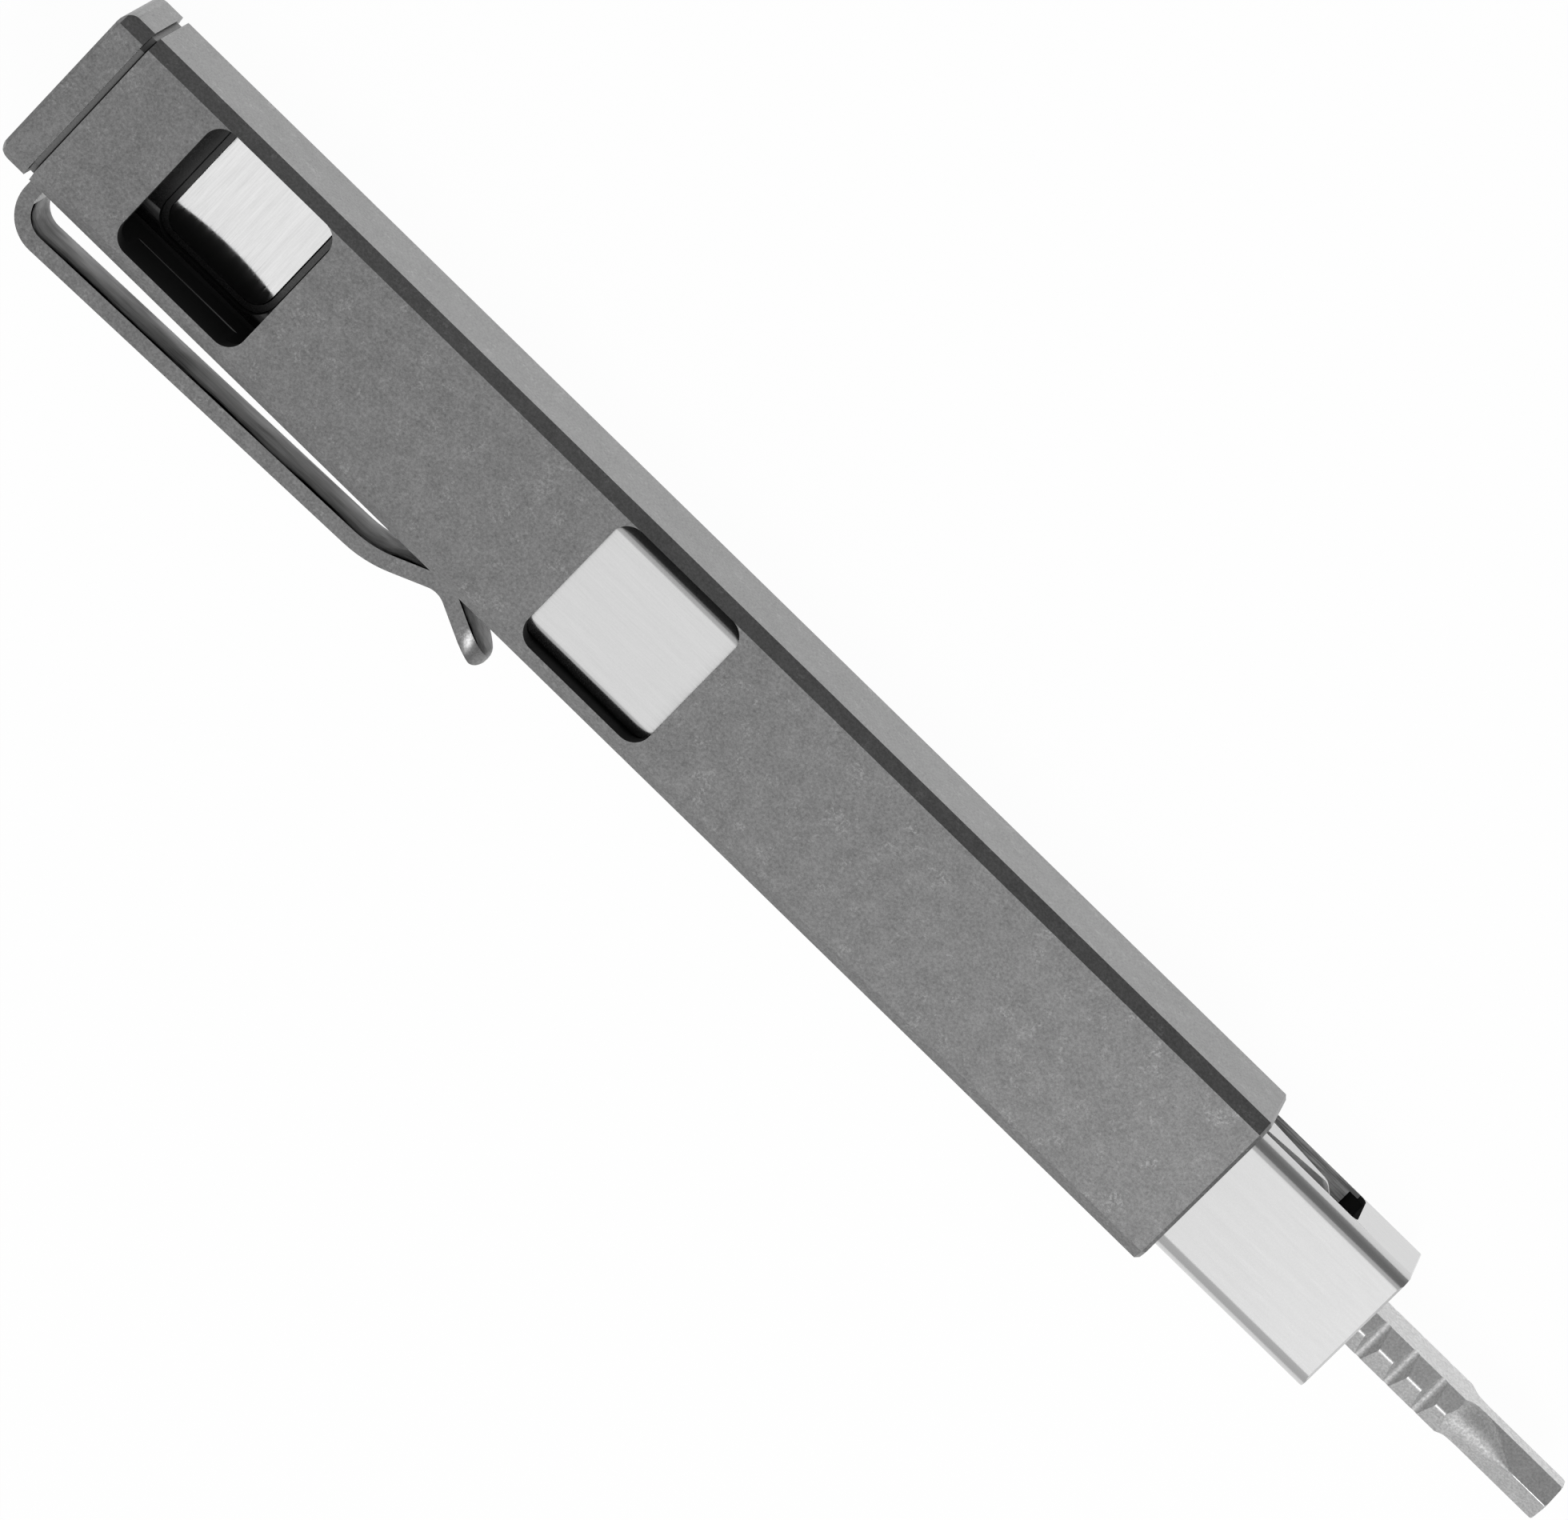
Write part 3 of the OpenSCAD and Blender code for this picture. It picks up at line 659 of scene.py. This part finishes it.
def bit_shape():
    """The whole bit about its middle, in millimetres."""
    body_outline = [(bit_half_t, broad_face_half_w), (0, bit_half_w), (-bit_half_t, broad_face_half_w)]
    body_outline += [(-y, -z) for y, z in body_outline]
    body_end = bit_half_l - body_short_of_tip
    shape = bar(rounded(body_outline, (edge_r, apex_r, edge_r)), -body_end, body_end)
    rear = [(-x, half_t, half_w) for x, half_t, half_w in reversed(ridge_stations(rear_hex_half_t))]
    shape = combined(shape, round_bar(rear + ridge_stations(bit_half_t)), "INTERSECT")
    rear_end = bit_end(rear_hex_half_t)
    rear_end.data.transform(Matrix.Rotation(math.pi, 4, "Z"))
    for end in (bit_end(bit_half_t), rear_end):
        shape = combined(shape, end, "UNION")
    for row in notch_rows:
        for side in (-1, 1):
            shape = combined(shape, notch(row * notch_pitch, side), "DIFFERENCE")
    return shape


# A bit's face counts as cut, as a crest or as a flat where its normal has more than this share along X,
# Z or Y. Crests on the lands of the edges and past the ridges are painted lighter as a highlight.

cut_lean = 0.004
crest_lean = 0.955
flat_lean = 0.95
land_depth = 0.08
crease_angle = math.radians(14)


def bit_face(centre, normal):
    """0 for the slanted facets, 1 for the broad flats, painted lighter as if lit, 2 for the lands of the
    edges, painted as a highlight, 3 for notches and ridges.
    """
    if abs(normal.x) > cut_lean:
        return 3
    if abs(normal.z) > crest_lean:
        on_land = abs(centre.z) > bit_half_w - land_depth
        past_ridge = abs(centre.x) > ridge_start + ridge_l
        return 2 if on_land or past_ridge else 3
    return 1 if abs(normal.y) > flat_lean else 0


def bit(drawn, node, piece):
    """A bit of the drawn shape in the place of that node."""
    low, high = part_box(node)
    mesh = drawn.data.copy()
    mesh.materials.clear()
    for finish in bit_finishes:
        mesh.materials.append(finish)
    for face in mesh.polygons:
        face.material_index = bit_face(face.center, face.normal)
    mesh.transform(Matrix.Translation((low + high) / 2) @ Matrix.Scale(MM, 4))
    mesh.shade_smooth()
    mesh.set_sharp_from_angle(angle=crease_angle)
    mesh.name = piece
    obj = placed(piece, mesh)
    flat = obj.modifiers.new("flat_faces", "WEIGHTED_NORMAL")
    flat.keep_sharp = True
    stands_for(obj, node)


drawn_bit = bit_shape()
bit(drawn_bit, "screwdriver_bit", "bit_in_use")
bit(drawn_bit, "spare_bit", "bit_in_store")
bpy.data.objects.remove(drawn_bit)


# Floor and card, with lengths in metres

floor_half = 2
floor_z = -0.00003
paper_level = 0.85
paper_glow = 0.97
card_half_l = 0.5
card_foot = (0.26, 0)
card_top = (0.3, 0.75)
card_fade = 0.16
card_foot_glow = 0.35
card_top_glow = 0.2


def sheet_of(name, half_l, near, far, material):
    """A flat sheet between two lines along X, which are given by their Y and Z."""
    mesh = bpy.data.meshes.new(name)
    corners = [(-half_l, *near), (half_l, *near), (half_l, *far), (-half_l, *far)]
    mesh.from_pydata(corners, [], [(0, 1, 2, 3)])
    mesh.materials.append(material)
    obj = placed(name, mesh)
    return obj


def white_floor():
    """White paper that keeps a soft shadow of the tool."""
    f = Finish("white_paper")
    kinds = ("Is Camera Ray", "Is Glossy Ray", "Is Transmission Ray")
    straight, mirrored, refracted = [f.node("ShaderNodeLightPath", output=kind) for kind in kinds]
    seen = f.larger(straight, f.larger(mirrored, refracted))
    lit = f.node("ShaderNodeBsdfDiffuse", {"Color": grey(paper_level)})
    glow = f.node("ShaderNodeEmission", {"Color": grey(1), "Strength": 1.0})
    both = f.node("ShaderNodeMixShader", {0: seen * paper_glow, 1: lit, 2: glow})
    f.node("ShaderNodeOutputMaterial", {"Surface": both})
    return f.material


def dark_card():
    """A grey card that is lighter towards its foot."""
    f = Finish("dark_card")
    height = f.along_axis(2)
    foot = f.node("ShaderNodeEmission", {"Color": grey(1), "Strength": card_foot_glow})
    top = f.node("ShaderNodeEmission", {"Color": grey(1), "Strength": card_top_glow})
    both = f.node("ShaderNodeMixShader", {0: f.band(height, 0, card_fade), 1: foot, 2: top})
    f.node("ShaderNodeOutputMaterial", {"Surface": both})
    return f.material


sheet_of("floor", floor_half, (-floor_half, floor_z), (floor_half, floor_z), white_floor())
card = sheet_of("flag", card_half_l, card_foot, card_top, dark_card())
card.visible_camera = False
card.visible_shadow = False


# Light and camera

world = bpy.data.worlds.new("studio")
world.use_nodes = True
sky = world.node_tree.nodes["Background"].inputs
sky["Color"].default_value = (1, 1, 1, 1)
sky["Strength"].default_value = 0.6
bpy.context.scene.world = world


def area_lamp(name, place, size, watts):
    """A rectangular lamp that points at the frame's origin."""
    data = bpy.data.lights.new(name, "AREA")
    data.shape = "RECTANGLE"
    data.size, data.size_y = size
    data.energy = watts
    lamp = placed(name, data)
    lamp.location = place
    lamp.rotation_euler = (-lamp.location).to_track_quat("-Z", "Y").to_euler()


area_lamp("overhead", place=(0.03, -0.145, 0.53), size=(0.42, 0.26), watts=0.16)
area_lamp("nose_side", place=(0.35, -0.145, 0.51), size=(0.24, 0.24), watts=1.6)

camera_place = (-1.3618 * MM, 170.1016 * MM, 626.5272 * MM)
camera_turn_degrees = (-11.81594, 9.85342, 43.42417)
camera_data = bpy.data.cameras.new("camera")
camera_data.sensor_width = 36
camera_data.lens = 231.007
camera_data.clip_start = 0.01
camera = placed("camera", camera_data)
camera.location = camera_place
camera.rotation_euler = Euler([math.radians(turn) for turn in camera_turn_degrees], "XYZ")
bpy.context.scene.camera = camera
bpy.context.scene.view_settings.view_transform = "Standard"
